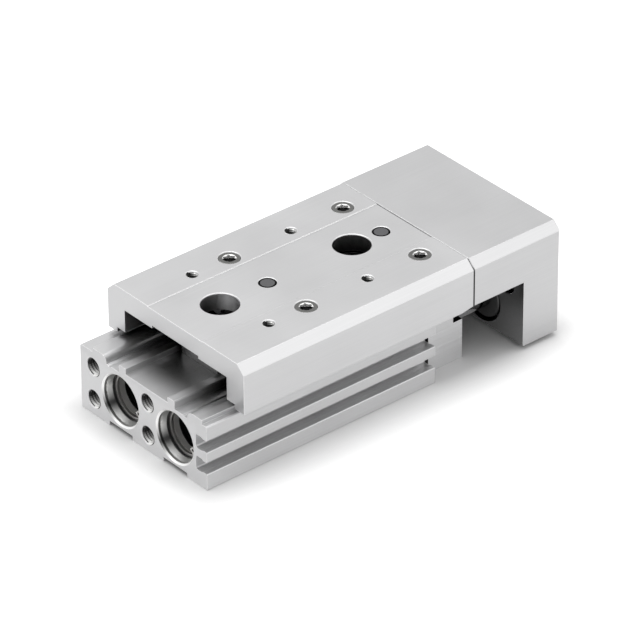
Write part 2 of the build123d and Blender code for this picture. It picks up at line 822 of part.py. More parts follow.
# End block: carries the channel on and closes it with the wall that the rods push
with BuildPart() as end_block:
    with BuildSketch(Plane.YZ.offset(joint_x)) as end_section:
        with BuildLine():
            Polyline(*channel_outline(end_edge, end_edge, end_side_z), close=True)
        make_face()
        mirror(about=Plane.YZ)
    extrude(amount=end_length)
    chamfer(joint_edges(end_block), joint_break)
    with BuildSketch(Plane.YZ.offset(wall_x)) as wall_section:
        with Locations((0, (end_wall_z + crown_z) / 2)):
            Rectangle(2 * table_half, crown_z - end_wall_z)
    extrude(amount=end_wall)
    corners = [
        e
        for e in end_block.edges().filter_by(Axis.Z)
        if abs(e.center().X - front) < 0.01 and abs(abs(e.center().Y) - table_half) < 0.01
    ]
    feet = [
        e
        for e in end_block.edges().filter_by(Axis.Y)
        if abs(e.center().Z - end_wall_z) < 0.01
    ]
    chamfer(corners + feet, edge_break)
    for y in sides.values():
        with BuildSketch(Plane.YZ.offset(wall_x)):
            with Locations((y, bore_z)):
                Circle(collar_pocket_r)
        extrude(amount=collar_pocket_depth, mode=Mode.SUBTRACT)
        with BuildSketch(Plane.YZ.offset(front)):
            with Locations((y, bore_z)):
                Circle(nut_pocket_r)
        extrude(amount=-nut_pocket_depth, mode=Mode.SUBTRACT)
        with BuildSketch(Plane.YZ.offset(wall_x)):
            with Locations((y, bore_z)):
                Circle(rod_hole_r)
        extrude(amount=end_wall, mode=Mode.SUBTRACT)
    with BuildSketch(Plane.YZ.offset(wall_x)):
        with Locations((stop_hole_y, stop_hole_z)):
            Circle(thread_r)
    extrude(amount=end_wall, mode=Mode.SUBTRACT)
    rims = end_block.edges().filter_by(GeomType.CIRCLE)
    chamfer([e for e in rims if abs(e.radius - thread_r) < 0.01], thread_break)
    with BuildSketch(Plane.YZ.offset(joint_x)):
        with Locations(*end_screw_places):
            Circle(end_hole_r)
    extrude(amount=end_length, mode=Mode.SUBTRACT)
    with BuildSketch(Plane.YZ.offset(front)):
        with Locations(*end_screw_places):
            Circle(end_head_r + rail_head_play)
    extrude(amount=-end_head_sink, mode=Mode.SUBTRACT)
finish(end_block.part, "end_block")

with BuildPart() as end_block_screws:
    seat_x = front - end_head_sink
    with BuildSketch(Plane.YZ.offset(seat_x)):
        with Locations(*end_screw_places):
            Circle(end_head_r)
    extrude(amount=end_head_height)
    with BuildSketch(Plane.YZ.offset(seat_x)):
        with Locations(*end_screw_places):
            Circle(screw_r)
    extrude(amount=joint_x - end_screw_grip - seat_x)
    with BuildSketch(Plane.YZ.offset(seat_x + end_head_height)):
        with Locations(*end_screw_places):
            RegularPolygon(hex_socket / 2, 6, major_radius=False)
    extrude(amount=-hex_depth, mode=Mode.SUBTRACT)
finish(end_block_screws.part, "end_block_screws")

with BuildPart() as table_screws:
    head_top = table_top - sunk_flush
    for x, y in sunk_places:
        with BuildSketch(Plane(origin=(x, y, 0), x_dir=(1, 0, 0), z_dir=(0, -1, 0))):
            with BuildLine():
                Polyline(
                    (0, head_top),
                    (sunk_head_r - sunk_flush, head_top),
                    (screw_r, head_top - (sunk_head_r - sunk_flush - screw_r)),
                    (screw_r, table_top - sunk_screw_length),
                    (0, table_top - sunk_screw_length),
                    close=True,
                )
            make_face()
        revolve(axis=Axis((x, y, 0), (0, 0, 1)))
        with BuildSketch(Plane.XY.offset(head_top)):
            with Locations((x, y)):
                RegularPolygon(hex_socket / 2, 6, major_radius=False)
        extrude(amount=-hex_depth, mode=Mode.SUBTRACT)
finish(table_screws.part, "table_screws")

with BuildPart() as grease_plugs:
    with BuildSketch(Plane.XY.offset(table_top - band_depth - sunk_flush)):
        with Locations(*plug_places):
            Circle(plug_r)
    extrude(amount=-plug_length)
finish(grease_plugs.part, "grease_plugs")


# Guide carriage: steel block with plastic ends, screwed up against the ceiling
def carriage_section(inset, rail_gap):
    """Section of the carriage around the rail, inset all round."""
    with BuildSketch(mode=Mode.PRIVATE) as section:
        with Locations((0, carriage_foot_z + inset)):
            Rectangle(
                2 * (carriage_half - inset),
                ceiling_z - carriage_foot_z - 2 * inset,
                align=(Align.CENTER, Align.MIN),
            )
        with Locations((0, carriage_foot_z - 1)):
            Rectangle(
                2 * (rail_half + rail_gap),
                carriage_roof - carriage_foot_z + 1,
                align=(Align.CENTER, Align.MIN),
                mode=Mode.SUBTRACT,
            )
    return section.sketch


with BuildPart() as guide_carriage:
    with BuildSketch(Plane.YZ.offset(carriage_rear)):
        add(carriage_section(0, carriage_gap))
        with Locations((-ball_y, ball_z), (ball_y, ball_z)):
            Circle(ball_r, mode=Mode.SUBTRACT)
    extrude(amount=carriage_length)
    shoulders = [
        e
        for e in guide_carriage.edges().filter_by(Axis.X)
        if abs(abs(e.center().Y) - carriage_half) < 0.01
    ]
    chamfer(shoulders, carriage_break)
    with Locations((access_places[1][0], 0, ceiling_z)):
        Hole(access_r)
    with Locations(*[(x, y, ceiling_z) for x, y in sunk_places]):
        Hole(screw_r + screw_play, depth=sunk_screw_length - (table_top - ceiling_z) + 1)
    with Locations(*[(x, y, ceiling_z) for x, y in plug_places]):
        Hole(screw_r)
    for end, inward in ((carriage_rear, 1), (carriage_front, -1)):
        with BuildSketch(Plane.YZ.offset(end)):
            with Locations((-cap_screw_y, cap_screw_z), (cap_screw_y, cap_screw_z)):
                Circle(cap_screw_r + screw_play)
        extrude(amount=inward * (cap_screw_depth + 1), mode=Mode.SUBTRACT)
finish(guide_carriage.part, "guide_carriage")


def make_carriage_end(name, start, length, inset, rail_gap):
    """Plastic cap or scraper plate, with holes for its two screws."""
    with BuildPart() as carriage_end:
        with BuildSketch(Plane.YZ.offset(start)):
            add(carriage_section(inset, rail_gap))
            with Locations((-cap_screw_y, cap_screw_z), (cap_screw_y, cap_screw_z)):
                Circle(cap_screw_r + screw_play, mode=Mode.SUBTRACT)
        extrude(amount=length)
    finish(carriage_end.part, name)


make_carriage_end("carriage_cap_rear", carriage_rear - end_cap_length, end_cap_length, end_cap_inset, carriage_gap)
make_carriage_end("carriage_cap_front", carriage_front, end_cap_length, end_cap_inset, carriage_gap)
scraper_rear = carriage_rear - end_cap_length - scraper_length
scraper_front = carriage_front + end_cap_length
make_carriage_end("scraper_rear", scraper_rear, scraper_length, scraper_inset, carriage_gap / 2)
make_carriage_end("scraper_front", scraper_front, scraper_length, scraper_inset, carriage_gap / 2)

with BuildPart() as carriage_screws:
    for face, outward in ((scraper_rear, -1), (scraper_front + scraper_length, 1)):
        with BuildSketch(Plane.YZ.offset(face)):
            with Locations((-cap_screw_y, cap_screw_z), (cap_screw_y, cap_screw_z)):
                Circle(cap_head_r)
        extrude(amount=outward * cap_head_height)
        with BuildSketch(Plane.YZ.offset(face)):
            with Locations((-cap_screw_y, cap_screw_z), (cap_screw_y, cap_screw_z)):
                Circle(cap_screw_r)
        extrude(amount=-outward * (scraper_length + end_cap_length + cap_screw_depth))
finish(carriage_screws.part, "carriage_screws")


def make_ball_row(name, y):
    """Loaded balls between the rail's groove and the carriage's groove, with a few bands each."""
    first = (carriage_rear + carriage_front - ball_pitch * (balls_per_row - 1)) / 2
    with BuildPart() as ball_row:
        for ball in range(balls_per_row):
            x = first + ball * ball_pitch
            with BuildSketch(lathe_plane(y, ball_z)):
                with Locations((x, 0)):
                    RegularPolygon(ball_r, ball_bands, rotation=180 / ball_bands)
                    Rectangle(2 * ball_r, ball_r, align=(Align.CENTER, Align.MAX), mode=Mode.SUBTRACT)
            revolve(axis=lathe_axis(y, ball_z))
    finish(ball_row.part, name)


make_ball_row("guide_balls_left", ball_y)
make_ball_row("guide_balls_right", -ball_y)
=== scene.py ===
"""Looks for a pneumatic slide table: finishes, thread turns, studio and camera."""
import json
import math

import bmesh
import bpy
from mathutils import Matrix, Vector


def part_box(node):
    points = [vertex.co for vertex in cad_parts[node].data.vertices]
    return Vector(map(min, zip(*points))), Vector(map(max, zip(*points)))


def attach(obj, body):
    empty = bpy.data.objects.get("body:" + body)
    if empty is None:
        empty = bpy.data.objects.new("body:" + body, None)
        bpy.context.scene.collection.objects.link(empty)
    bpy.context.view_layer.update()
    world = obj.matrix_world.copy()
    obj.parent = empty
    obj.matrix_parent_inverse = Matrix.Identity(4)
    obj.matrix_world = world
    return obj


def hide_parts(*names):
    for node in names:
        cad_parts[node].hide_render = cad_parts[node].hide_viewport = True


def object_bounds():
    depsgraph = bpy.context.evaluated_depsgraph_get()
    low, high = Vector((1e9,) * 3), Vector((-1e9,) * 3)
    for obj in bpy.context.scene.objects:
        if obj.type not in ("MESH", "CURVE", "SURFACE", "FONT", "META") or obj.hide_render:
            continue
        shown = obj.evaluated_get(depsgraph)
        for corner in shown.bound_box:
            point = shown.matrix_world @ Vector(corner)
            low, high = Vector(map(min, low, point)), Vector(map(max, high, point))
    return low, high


MM = 0.001

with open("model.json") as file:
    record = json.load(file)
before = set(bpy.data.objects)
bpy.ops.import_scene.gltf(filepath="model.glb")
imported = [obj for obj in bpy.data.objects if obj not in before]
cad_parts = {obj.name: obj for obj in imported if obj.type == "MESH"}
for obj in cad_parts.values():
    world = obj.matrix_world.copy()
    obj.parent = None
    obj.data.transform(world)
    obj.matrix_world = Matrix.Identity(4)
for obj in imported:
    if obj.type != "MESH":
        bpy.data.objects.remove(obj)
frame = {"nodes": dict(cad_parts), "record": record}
nodes = frame["nodes"]
record = frame["record"]
cad_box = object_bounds()

# Places that the finishes and threads need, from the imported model
mounts = {mount["name"]: mount for mount in record["mounts"]}
BODY_LOW, BODY_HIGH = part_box("cylinder_body")
TABLE_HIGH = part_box("slide_table")[1]
CAP_LOW, CAP_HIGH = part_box("head_cap_left")
SCREW_LOW, SCREW_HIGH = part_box("table_screws")
PLUG_LOW, PLUG_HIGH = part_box("grease_plugs")
BORE_Y = (CAP_LOW[1] + CAP_HIGH[1]) / 2
BORE_Z = (CAP_LOW[2] + CAP_HIGH[2]) / 2
PLUG_RADIUS = (PLUG_HIGH[1] - PLUG_LOW[1]) / 2

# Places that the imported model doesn't name
BORE_WALL = 7.55 * MM       # just outside the mouth of a bore
BORE_SKIN = 0.02 * MM       # keeps the rear face out of the bores
WALL_X = 56.25 * MM         # inner face of the end block's wall
ROOF_Z = 28.0 * MM          # underside of its roof
FACE_PLAY = 0.03 * MM       # a face this near to a place counts as there
SCREW_HEAD = 2.85 * MM
SLOT_DEPTH = 4.4 * MM       # a little more than that of the sensor slots
BODY_TOP_Z = 17.0 * MM      # all of the body's top lies above
REAR_TOP = (9.0 * MM, 3.0 * MM)         # from the body's rear face, out of the table's shade
NOTCH_LENGTH = 3.12 * MM
NOTCH_SIDES = (4.85 * MM, 6.3 * MM)     # from the body's slotted side
NOTCH_Z = 11.5 * MM
GROOVE_SHADE = (2.7 * MM, 2.9 * MM)     # painted shade past the bores' groove, from the body's rear face inwards
CUP_SHADE = (5.95 * MM, 6.15 * MM)      # painted shade near the floors of the head caps' cups, also from the body's rear face inwards
SEAM_WIDTH = (0.32 * MM, 0.17 * MM)     # to either side of the parting line
SEAM_SHADE = (1.4 * MM, 2.8 * MM)       # below the table's top, from faint to dark
SOCKET_RIM = (1.86 * MM, 1.78 * MM)     # from the middle of a screw's head; within it the socket is painted bright as a lit wall
SOCKET_SHADE = (0.08 * MM, 0.16 * MM)   # painted shade below the slanted shade line
PLUG_RIM = (0.55 * MM, 0.35 * MM)       # from a plug's edge inwards

# Ways in which light and shade fall
LIT_SIDE = (0.64, 0.77)                 # side of a screw's socket that catches the light, in X and Y
SECTOR_WAY = (0.55, 0.80)               # across the painted light and dark reflection sectors of a turned bore, in Y and Z
SHADE_SIDE = (0.45, -0.95, -0.20)       # way that a thread flank faces when it gets painted shade, as turned from the light

# Scales of the lines that tools leave
ALONG_X = (25.0, 4200.0, 4200.0)
COARSE_ALONG_X = (8.0, 1100.0, 1100.0)
ACROSS_X = (5200.0, 60.0, 60.0)


def grey(value):
    """The same value three times, as a grey or an even scale."""
    return (value, value, value)


# Black for painted shade deep in holes, cups and screw sockets
PAINTED_DEEP_SHADE = grey(0.01)
# Near black for the dark parting line, and for painted shade in the gap, the notch and recesses
JOINT_AND_SHADE_BLACK = grey(0.03)


# Node helpers

def add_node(tree, kind, settings=None, values=None):
    """Adds a node with its settings and the values of its unlinked inputs."""
    node = tree.nodes.new(kind)
    for name, value in (settings or {}).items():
        setattr(node, name, value)
    for name, value in (values or {}).items():
        node.inputs[name].default_value = value
    return node


def math_node(tree, operation, first, second=None):
    """Math node on one or two values; each is a number or an output to link."""
    node = add_node(tree, "ShaderNodeMath", {"operation": operation})
    for socket, value in zip(node.inputs, (first, second)):
        if value is None:
            continue
        if isinstance(value, (int, float)):
            socket.default_value = value
        else:
            tree.links.new(value, socket)
    return node.outputs[0]


def product(tree, first, *others):
    """Product of two or more values."""
    for other in others:
        first = math_node(tree, "MULTIPLY", first, other)
    return first


def invert(tree, value):
    """One less the value."""
    return math_node(tree, "SUBTRACT", 1.0, value)


def diagonal(tree, first, second):
    """Length of the diagonal over two sides."""
    squares = product(tree, first, first), product(tree, second, second)
    return math_node(tree, "SQRT", math_node(tree, "ADD", *squares))


def ramp(tree, source, low, high, low_value=0.0, high_value=1.0):
    """Maps source from low..high to low_value..high_value, held at the ends."""
    node = add_node(tree, "ShaderNodeMapRange", {"clamp": True}, {
        "From Min": low, "From Max": high, "To Min": low_value, "To Max": high_value})
    tree.links.new(source, node.inputs["Value"])
    return node.outputs["Result"]


def mix_colour(tree, amount, first, second):
    """Mixes two colours; each is a colour or an output to link."""
    node = add_node(tree, "ShaderNodeMix", {"data_type": "RGBA"})
    tree.links.new(amount, node.inputs["Factor"])
    for socket, value in ((node.inputs[6], first), (node.inputs[7], second)):
        if isinstance(value, tuple):
            socket.default_value = (*value, 1.0)
        else:
            tree.links.new(value, socket)
    return node.outputs[2]


def object_place(tree):
    """Place on the object, in its own coordinates."""
    return add_node(tree, "ShaderNodeTexCoord").outputs["Object"]


def true_normal(tree):
    """Normal of the surface before any rounding or bump."""
    return add_node(tree, "ShaderNodeNewGeometry").outputs["Normal"]


def split(tree, vector):
    """X, Y and Z of a vector, as three outputs."""
    parts = add_node(tree, "ShaderNodeSeparateXYZ")
    tree.links.new(vector, parts.inputs[0])
    return parts.outputs["X"], parts.outputs["Y"], parts.outputs["Z"]


def dot_product(tree, first, second):
    """Dot product of an output and a second output or fixed way."""
    node = add_node(tree, "ShaderNodeVectorMath", {"operation": "DOT_PRODUCT"})
    tree.links.new(first, node.inputs[0])
    if isinstance(second, tuple):
        node.inputs[1].default_value = second
    else:
        tree.links.new(second, node.inputs[1])
    return node.outputs["Value"]


def new_group(name, inputs, numbers, vectors=()):
    """Shader node group with named inputs, at their values, and outputs; returns its tree and ends."""
    tree = bpy.data.node_groups.new(name, "ShaderNodeTree")
    for label, value in inputs.items():
        kind = "NodeSocketVector" if isinstance(value, tuple) else "NodeSocketFloat"
        tree.interface.new_socket(label, in_out="INPUT", socket_type=kind).default_value = value
    for labels, kind in ((numbers, "NodeSocketFloat"), (vectors, "NodeSocketVector")):
        for label in labels:
            tree.interface.new_socket(label, in_out="OUTPUT", socket_type=kind)
    return tree, tree.nodes.new("NodeGroupInput"), tree.nodes.new("NodeGroupOutput")


def place_group(tree, group, values=None):
    return add_node(tree, "ShaderNodeGroup", {"node_tree": group}, values)


# Effects that several finishes share

def make_drawn_lines():
    """Fine lines along one axis, as an extrusion die or a grinding wheel leaves them."""
    tree, start, end = new_group("drawn_lines", {"Along": (30.0, 5000.0, 5000.0), "Patch": 60.0},
                                 ("Lines", "Patches"))
    place = object_place(tree)
    stretch = add_node(tree, "ShaderNodeVectorMath", {"operation": "MULTIPLY"})
    tree.links.new(place, stretch.inputs[0])
    tree.links.new(start.outputs["Along"], stretch.inputs[1])
    lines = add_node(tree, "ShaderNodeTexNoise", None, {"Scale": 1.0, "Detail": 3.0, "Roughness": 0.6})
    tree.links.new(stretch.outputs[0], lines.inputs["Vector"])
    patches = add_node(tree, "ShaderNodeTexNoise", None, {"Detail": 2.0, "Roughness": 0.5})
    tree.links.new(place, patches.inputs["Vector"])
    tree.links.new(start.outputs["Patch"], patches.inputs["Scale"])
    tree.links.new(lines.outputs[0], end.inputs["Lines"])
    tree.links.new(patches.outputs[0], end.inputs["Patches"])
    return tree


def make_blasted_grain():
    """Even fine grain of a blasted, anodised or moulded skin."""
    tree, start, end = new_group("blasted_grain", {"Scale": 4000.0}, ("Grain",))
    grain = add_node(tree, "ShaderNodeTexNoise", None, {"Detail": 2.0, "Roughness": 0.7})
    tree.links.new(object_place(tree), grain.inputs["Vector"])
    tree.links.new(start.outputs["Scale"], grain.inputs["Scale"])
    tree.links.new(grain.outputs[0], end.inputs["Grain"])
    return tree


def make_edge_wear_and_highlight():
    """Rounds edges a little and marks them; the mark lightens edges partly as wear where handling has
    polished the skin and partly as a painted highlight.
    """
    tree, start, end = new_group("edge_wear_and_highlight", {"Radius": 0.12 * MM}, ("Edge",), ("Normal",))
    rounded = add_node(tree, "ShaderNodeBevel", {"samples": 6})
    tree.links.new(start.outputs["Radius"], rounded.inputs["Radius"])
    turn = dot_product(tree, rounded.outputs["Normal"], true_normal(tree))
    tree.links.new(ramp(tree, turn, 0.995, 0.90), end.inputs["Edge"])
    tree.links.new(rounded.outputs["Normal"], end.inputs["Normal"])
    return tree


def make_recess():
    """Marks how open a place is; low where near walls keep the light out."""
    tree, start, end = new_group("recess", {"Reach": 22 * MM}, ("Open",))
    shade = add_node(tree, "ShaderNodeAmbientOcclusion", {"samples": 8})
    tree.links.new(start.outputs["Reach"], shade.inputs["Distance"])
    tree.links.new(shade.outputs["AO"], end.inputs["Open"])
    return tree


def make_bore_zone():
    """Marks the inside of both bores, their turned rings, the sectors where a light or dark reflection is
    painted, and what is past the groove, where shade is painted.
    """
    tree, _, end = new_group("bore_zone", {}, ("Inside", "Rings", "Sector", "Groove"))
    x, y, z = split(tree, object_place(tree))
    side = math_node(tree, "SUBTRACT", y, product(tree, math_node(tree, "SIGN", y), BORE_Y))
    height = math_node(tree, "SUBTRACT", z, BORE_Z)
    reach = diagonal(tree, side, height)
    near = math_node(tree, "LESS_THAN", reach, BORE_WALL)
    within = math_node(tree, "GREATER_THAN", x, BODY_LOW[0] + BORE_SKIN)
    tree.links.new(product(tree, near, within), end.inputs["Inside"])
    along = add_node(tree, "ShaderNodeCombineXYZ")
    tree.links.new(x, along.inputs["X"])
    tree.links.new(reach, along.inputs["Y"])
    rings = add_node(tree, "ShaderNodeTexNoise", None, {"Scale": 6000.0, "Detail": 2.0})
    tree.links.new(along.outputs[0], rings.inputs["Vector"])
    tree.links.new(rings.outputs[0], end.inputs["Rings"])
    across = math_node(tree, "ADD", product(tree, side, SECTOR_WAY[0]), product(tree, height, SECTOR_WAY[1]))
    sector = math_node(tree, "DIVIDE", math_node(tree, "ABSOLUTE", across), reach)
    tree.links.new(ramp(tree, sector, 0.05, 0.65), end.inputs["Sector"])
    past_groove = ramp(tree, x, *(BODY_LOW[0] + inwards for inwards in GROOVE_SHADE))
    tree.links.new(past_groove, end.inputs["Groove"])
    return tree


def make_marked_places():
    """Marks single places on body, table and end block that differ from the skin around them: the dark
    parting line, the gap and notch where shade is painted, and the slots and the body's top behind the
    table.
    """
    tree, _, end = new_group(
        "marked_places", {}, ("Seam", "Seam Shade", "Gap", "Notch", "Slots", "Rear Top"))
    x, y, z = split(tree, object_place(tree))
    # Parting line of table and end block: faint on top, dark on the sides
    from_seam = math_node(tree, "ABSOLUTE", math_node(tree, "SUBTRACT", x, TABLE_HIGH[0]))
    at_seam = ramp(tree, from_seam, *SEAM_WIDTH)
    below = math_node(tree, "SUBTRACT", TABLE_HIGH[2], z)
    at_side = ramp(tree, below, *SEAM_SHADE, 0.05, 1.0)
    tree.links.new(at_seam, end.inputs["Seam"])
    tree.links.new(product(tree, at_seam, at_side), end.inputs["Seam Shade"])
    # Inside of the gap between body and end wall, where shade is painted
    gap_middle = (TABLE_HIGH[0] + WALL_X) / 2
    from_gap = math_node(tree, "ABSOLUTE", math_node(tree, "SUBTRACT", x, gap_middle))
    behind_wall = math_node(tree, "LESS_THAN", from_gap, WALL_X + FACE_PLAY - gap_middle)
    under_roof = math_node(tree, "GREATER_THAN", below, TABLE_HIGH[2] - ROOF_Z - FACE_PLAY)
    from_middle = math_node(tree, "ABSOLUTE", y)
    between_sides = math_node(tree, "LESS_THAN", from_middle, TABLE_HIGH[1] - FACE_PLAY)
    tree.links.new(product(tree, behind_wall, under_roof, between_sides), end.inputs["Gap"])
    # Narrow notch at the body's front on the slotted side, painted black as shade
    near_front = math_node(tree, "GREATER_THAN", x, BODY_HIGH[0] - NOTCH_LENGTH)
    above = math_node(tree, "GREATER_THAN", z, NOTCH_Z)
    inwards = math_node(tree, "GREATER_THAN", y, BODY_LOW[1] + NOTCH_SIDES[0])
    outwards = math_node(tree, "LESS_THAN", y, BODY_LOW[1] + NOTCH_SIDES[1])
    tree.links.new(product(tree, near_front, above, inwards, outwards), end.inputs["Notch"])
    # Sensor slots, and the body's top behind the table
    tree.links.new(math_node(tree, "LESS_THAN", y, BODY_LOW[1] + SLOT_DEPTH), end.inputs["Slots"])
    clear_of_table = ramp(tree, x, *(BODY_LOW[0] + inwards for inwards in REAR_TOP))
    on_top = math_node(tree, "GREATER_THAN", z, BODY_TOP_Z)
    tree.links.new(product(tree, clear_of_table, on_top), end.inputs["Rear Top"])
    return tree


def make_head_zone(name, low, high, radius):
    """Distances from the nearest head of a rectangle or row of them, all round and towards its lit side."""
    tree, _, end = new_group(name, {}, ("Reach", "Lit Side", "Depth"))
    x, y, z = split(tree, object_place(tree))
    from_head, lit = [], []
    for axis, place in enumerate((x, y)):
        middle, half = (low[axis] + high[axis]) / 2, (high[axis] - low[axis]) / 2 - radius
        aside = math_node(tree, "SUBTRACT", place, middle)
        away = math_node(tree, "SUBTRACT", math_node(tree, "ABSOLUTE", aside), half)
        from_head.append(away)
        lit.append(product(tree, away, math_node(tree, "SIGN", aside), LIT_SIDE[axis]))
    tree.links.new(diagonal(tree, *from_head), end.inputs["Reach"])
    tree.links.new(math_node(tree, "ADD", *lit), end.inputs["Lit Side"])
    tree.links.new(math_node(tree, "SUBTRACT", high[2], z), end.inputs["Depth"])
    return tree


DRAWN_LINES = make_drawn_lines()
BLASTED_GRAIN = make_blasted_grain()
EDGE_WEAR_AND_HIGHLIGHT = make_edge_wear_and_highlight()
RECESS = make_recess()
BORE_ZONE = make_bore_zone()
MARKED_PLACES = make_marked_places()
SCREW_ZONE = make_head_zone("screw_zone", SCREW_LOW, SCREW_HIGH, SCREW_HEAD)
PLUG_ZONE = make_head_zone("plug_zone", PLUG_LOW, PLUG_HIGH, PLUG_RADIUS)


# Finishes

def new_finish(name, metallic, roughness, settings=None):
    """Material with a Principled shader; returns it, its tree and the shader."""
    finish = bpy.data.materials.new(name)
    finish.use_nodes = True
    shader = finish.node_tree.nodes["Principled BSDF"]
    shader.inputs["Metallic"].default_value = metallic
    shader.inputs["Roughness"].default_value = roughness
    for label, value in (settings or {}).items():
        shader.inputs[label].default_value = value
    return finish, finish.node_tree, shader


def bump(tree, shader, height, distance, strength, normal=None):
    """Joins a height to the shader's normal through a Bump node."""
    node = add_node(tree, "ShaderNodeBump", None, {"Strength": strength, "Distance": distance})
    tree.links.new(height, node.inputs["Height"])
    if normal is not None:
        tree.links.new(normal, node.inputs["Normal"])
    tree.links.new(node.outputs["Normal"], shader.inputs["Normal"])


def turn_bores(tree, skin, rough, height):
    """Turned bores with painted light and dark reflection sectors and painted shade past the groove, and
    coarse drawn streaks outside them; returns their mark and the changed values.
    """
    zone = place_group(tree, BORE_ZONE)
    inside = zone.outputs["Inside"]
    # Painted reflection: light and dark sectors across the bore
    turned = mix_colour(tree, zone.outputs["Sector"], grey(0.10), (0.92, 0.92, 0.91))
    # Painted shade past the groove
    turned = mix_colour(tree, zone.outputs["Groove"], turned, grey(0.04))
    skin = mix_colour(tree, inside, skin, turned)
    rough = math_node(tree, "ADD", rough, product(tree, inside, 0.02))
    coarse = place_group(tree, DRAWN_LINES, {"Along": COARSE_ALONG_X, "Patch": 45.0})
    facing_x = math_node(tree, "ABSOLUTE", split(tree, true_normal(tree))[0])
    streaks = product(tree, coarse.outputs["Lines"], ramp(tree, facing_x, 0.5, 0.2), 34.0)
    height = product(tree, math_node(tree, "ADD", height, streaks), invert(tree, inside))
    height = math_node(tree, "ADD", height, product(tree, zone.outputs["Rings"], inside, 0.15))
    return inside, skin, rough, height


def anodised_aluminium(name, colour, edge_wear_and_highlight_colour, roughness, wear, openness, bores=False):
    """Clear anodised aluminium with die or cutter lines, edges lightened partly as wear and partly as a
    painted highlight, and painted shade in deep places.
    """
    finish, tree, shader = new_finish(name, 1.0, roughness)
    lines = place_group(tree, DRAWN_LINES, {"Along": ALONG_X, "Patch": 45.0})
    grain = place_group(tree, BLASTED_GRAIN, {"Scale": 5200.0})
    edge = place_group(tree, EDGE_WEAR_AND_HIGHLIGHT, {"Radius": 0.2 * MM})
    recess = place_group(tree, RECESS)
    marks = place_group(tree, MARKED_PLACES)
    dull = tuple(channel * 0.93 for channel in colour)
    tone = math_node(tree, "ADD", product(tree, lines.outputs["Lines"], 0.5),
                     product(tree, lines.outputs["Patches"], 0.5))
    skin = mix_colour(tree, ramp(tree, tone, 0.35, 0.65), dull, colour)
    rough = ramp(tree, lines.outputs["Patches"], 0.3, 0.7, roughness - 0.03, roughness + 0.04)
    height = math_node(tree, "ADD", lines.outputs["Lines"], product(tree, grain.outputs["Grain"], 0.6))
    normal = edge.outputs["Normal"]
    open_sky = ramp(tree, recess.outputs["Open"], *openness)
    wear_and_highlight = product(tree, edge.outputs["Edge"], wear, invert(tree, marks.outputs["Seam"]))
    if bores:
        inside, skin, rough, height = turn_bores(tree, skin, rough, height)
        # The sensor slots get no painted shade
        open_sky = math_node(tree, "MAXIMUM", open_sky, marks.outputs["Slots"])
        matt = math_node(tree, "MAXIMUM", marks.outputs["Slots"], marks.outputs["Rear Top"])
        tree.links.new(ramp(tree, matt, 0.0, 1.0, 1.0, 0.7), shader.inputs["Metallic"])
        wear_and_highlight = product(tree, wear_and_highlight, invert(tree, inside))
        sharp = add_node(tree, "ShaderNodeMix", {"data_type": "VECTOR"})
        tree.links.new(inside, sharp.inputs["Factor"])
        tree.links.new(normal, sharp.inputs[4])
        tree.links.new(true_normal(tree), sharp.inputs[5])
        normal = sharp.outputs[1]
    # Edges lightened, partly as wear and partly as a painted highlight, less so where shade is painted
    skin = mix_colour(tree, product(tree, wear_and_highlight, open_sky), skin, edge_wear_and_highlight_colour)
    # Painted shade where near walls keep the light out
    skin = mix_colour(tree, open_sky, grey(0.035 if bores else 0.07), skin)
    # On the body, the notch painted black as shade; on table and end block, the dark parting line
    skin = mix_colour(tree, marks.outputs["Notch" if bores else "Seam Shade"], skin, JOINT_AND_SHADE_BLACK)
    if not bores:
        # Painted shade in the gap under the end block
        skin = mix_colour(tree, product(tree, marks.outputs["Gap"], 0.6), skin, JOINT_AND_SHADE_BLACK)
    tree.links.new(skin, shader.inputs["Base Color"])
    tree.links.new(rough, shader.inputs["Roughness"])
    bump(tree, shader, height, 0.004 * MM, 0.6, normal)
    return finish


def machined_metal(name, colour, roughness, along, line_depth=0.003 * MM, shaded=False):
    """Ground, turned or plated metal with lines along one axis; edges are lightened partly as wear and
    partly as a painted highlight, and if shaded, shade is painted where near walls keep the light out.
    """
    finish, tree, shader = new_finish(name, 1.0, roughness)
    lines = place_group(tree, DRAWN_LINES, {"Along": along, "Patch": 160.0})
    edge = place_group(tree, EDGE_WEAR_AND_HIGHLIGHT, {"Radius": 0.08 * MM})
    dark = tuple(channel * 0.86 for channel in colour)
    light = tuple(min(channel * 1.25, 0.95) for channel in colour)
    skin = mix_colour(tree, ramp(tree, lines.outputs["Lines"], 0.3, 0.7), dark, colour)
    # Edges lightened, partly as wear and partly as a painted highlight
    skin = mix_colour(tree, product(tree, edge.outputs["Edge"], 0.6), skin, light)
    if shaded:
        recess = place_group(tree, RECESS)
        # Painted shade where near walls keep the light out
        skin = mix_colour(tree, ramp(tree, recess.outputs["Open"], 0.10, 0.62), JOINT_AND_SHADE_BLACK, skin)
    tree.links.new(skin, shader.inputs["Base Color"])
    tree.links.new(ramp(tree, lines.outputs["Patches"], 0.3, 0.7, roughness * 0.85, roughness * 1.2),
                   shader.inputs["Roughness"])
    bump(tree, shader, lines.outputs["Lines"], line_depth, 0.5, edge.outputs["Normal"])
    return finish


